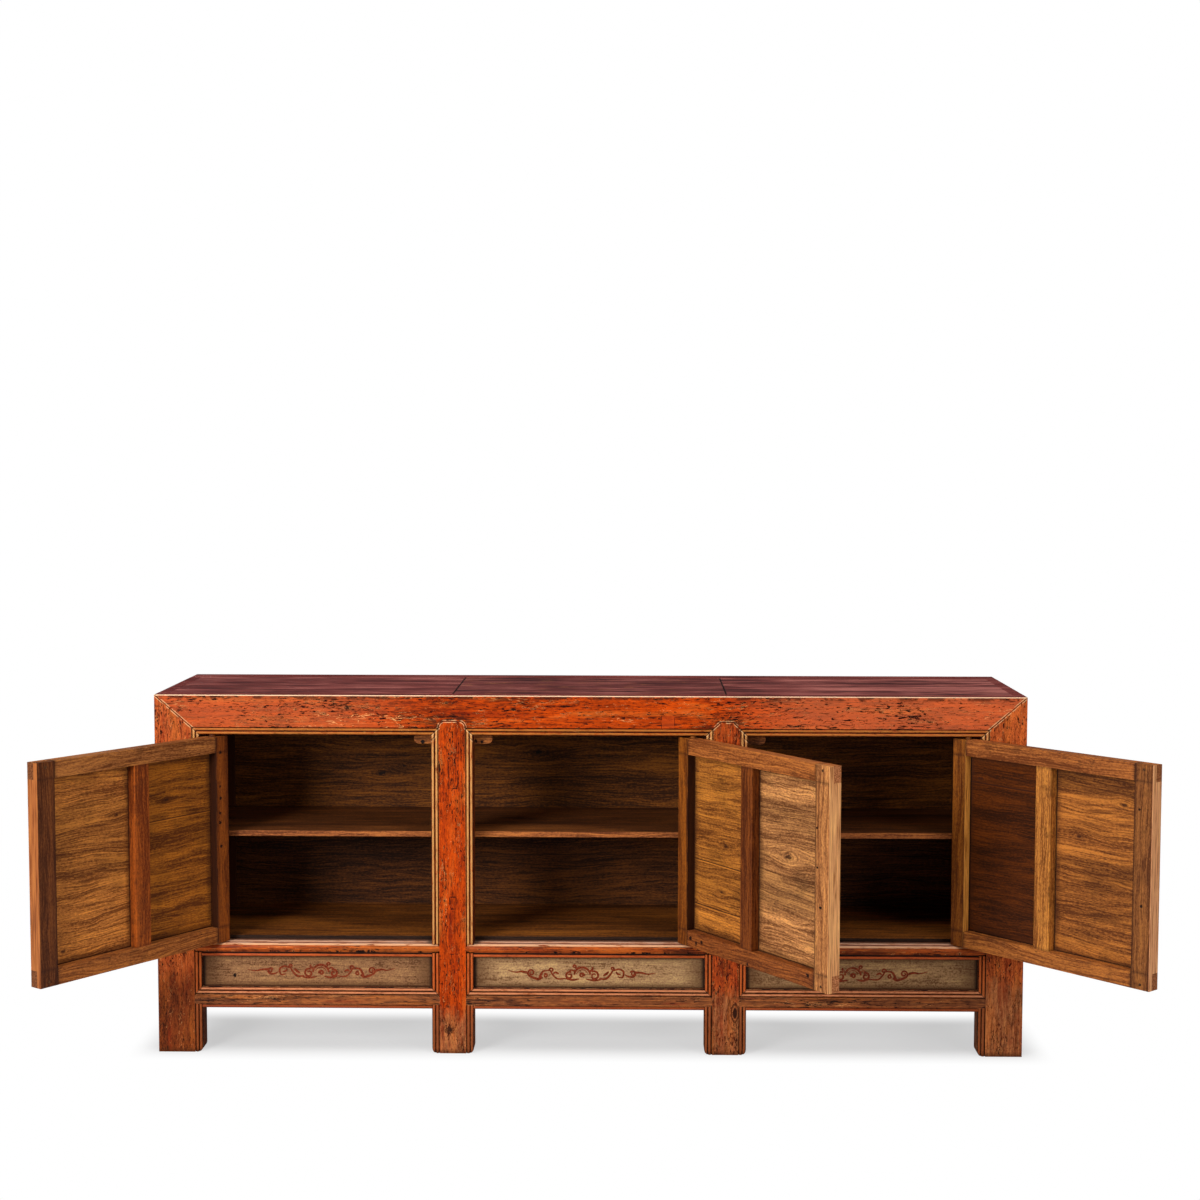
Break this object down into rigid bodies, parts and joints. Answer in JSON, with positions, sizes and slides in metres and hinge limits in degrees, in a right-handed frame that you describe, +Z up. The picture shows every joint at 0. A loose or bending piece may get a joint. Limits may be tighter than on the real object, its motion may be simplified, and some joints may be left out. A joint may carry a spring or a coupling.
{
  "type": "painted sideboard",
  "caption": "Long low painted sideboard on square legs, with panelled doors hung on wooden pins and standing open, beaded frames and a shelf inside.",
  "frame": {"origin": "on the floor, in the middle of the rectangle that the case and its open doors cover", "axes": "+X along the front to the right, +Y to the back, +Z up; the doors open towards -Y"},
  "size_m": [2.5592, 0.9126, 0.898],
  "materials": {
    "lacquer_red": "worn satin paint",
    "lacquer_maroon": "worn satin paint",
    "painted_beige": "worn matt paint",
    "bare_wood": "oiled",
    "dark_wood": "bare and darkened"
  },
  "bodies": {
    "case": {"front_post_left": "lacquer_red", "front_post_inner_left": "lacquer_red", "front_post_inner_right": "lacquer_red", "front_post_right": "lacquer_red", "back_post_left": "lacquer_maroon", "back_post_right": "lacquer_maroon", "back_inner_posts": "dark_wood", "top_rail_front": "lacquer_red", "top_rail_back": "lacquer_maroon", "top_rail_left": "lacquer_red", "top_rail_right": "lacquer_red", "top_cross_rails": "dark_wood", "top_panel_left": "lacquer_maroon", "top_panel_middle": "lacquer_maroon", "top_panel_right": "lacquer_maroon", "sill_left": "lacquer_red", "sill_middle": "lacquer_red", "sill_right": "lacquer_red", "bottom_rail_left": "lacquer_red", "bottom_rail_middle": "lacquer_red", "bottom_rail_right": "lacquer_red", "apron_panel_left": "painted_beige", "apron_panel_middle": "painted_beige", "apron_panel_right": "painted_beige", "side_rail_left": "lacquer_red", "side_rail_right": "lacquer_red", "side_panel_left": "lacquer_maroon", "side_panel_right": "lacquer_maroon", "back_rail_lower": "dark_wood", "back_board_upper": "dark_wood", "back_board_lower": "dark_wood", "shelf": "dark_wood", "shelf_bearers": "dark_wood", "floor_board": "dark_wood", "floor_bearers": "dark_wood", "door_stops": "bare_wood"},
    "left_door": {"left_hinge_stile": "bare_wood", "left_free_stile": "bare_wood", "left_door_top_rail": "bare_wood", "left_door_bottom_rail": "bare_wood", "left_muntin": "bare_wood", "left_hinge_panel": "bare_wood", "left_free_panel": "bare_wood", "left_door_pegs": "dark_wood"},
    "middle_door": {"middle_hinge_stile": "bare_wood", "middle_free_stile": "bare_wood", "middle_door_top_rail": "bare_wood", "middle_door_bottom_rail": "bare_wood", "middle_muntin": "bare_wood", "middle_hinge_panel": "bare_wood", "middle_free_panel": "bare_wood", "middle_door_pegs": "dark_wood"},
    "right_door": {"right_hinge_stile": "bare_wood", "right_free_stile": "bare_wood", "right_door_top_rail": "bare_wood", "right_door_bottom_rail": "bare_wood", "right_muntin": "bare_wood", "right_hinge_panel": "bare_wood", "right_free_panel": "bare_wood", "right_door_pegs": "dark_wood"}
  },
  "joints": [
    {"name": "left_door_hinge", "type": "hinge", "parent": "case", "child": "left_door", "pos_m": [-0.95439, -0.00065, 0.275], "axis": [0, 0, 1], "range_deg": [-12, 126]},
    {"name": "middle_door_hinge", "type": "hinge", "parent": "case", "child": "middle_door", "pos_m": [0.23661, -0.00065, 0.275], "axis": [0, 0, 1], "range_deg": [-125, 13]},
    {"name": "right_door_hinge", "type": "hinge", "parent": "case", "child": "right_door", "pos_m": [0.91461, -0.00065, 0.275], "axis": [0, 0, 1], "range_deg": [-131.5, 6.5]}
  ]
}
